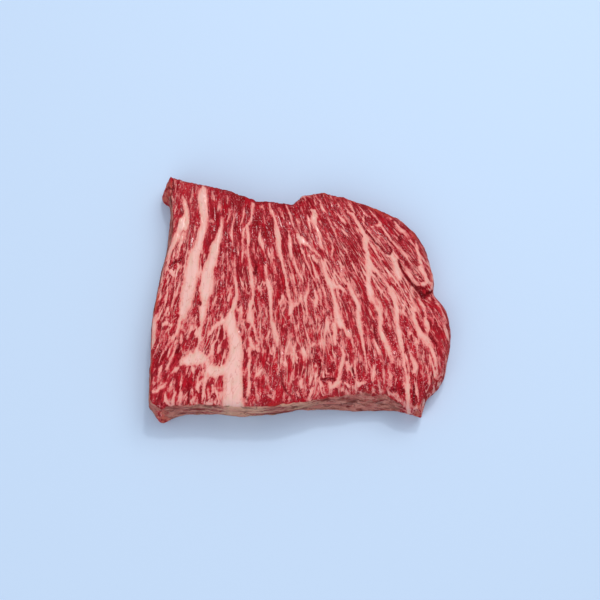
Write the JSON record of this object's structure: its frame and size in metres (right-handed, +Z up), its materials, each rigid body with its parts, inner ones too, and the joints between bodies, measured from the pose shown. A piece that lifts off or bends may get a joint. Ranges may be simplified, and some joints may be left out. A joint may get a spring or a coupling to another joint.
{
  "type": "raw beef steak",
  "caption": "Flat slab of raw marbled beef with coarse grain, two cut sides, two rounded natural sides and a cleft in one edge.",
  "frame": {"origin": "middle of the slab's box, on the surface that it rests on", "axes": "+X across the grain towards the rounded side with the cleft, +Y along the grain towards the rear natural edge, +Z up out of the top face"},
  "size_m": [0.1988, 0.166, 0.0314],
  "materials": {
    "meat": "moist raw lean streaked with cream fat"
  },
  "bodies": {
    "root": {"steak": "meat"}
  },
  "joints": []
}
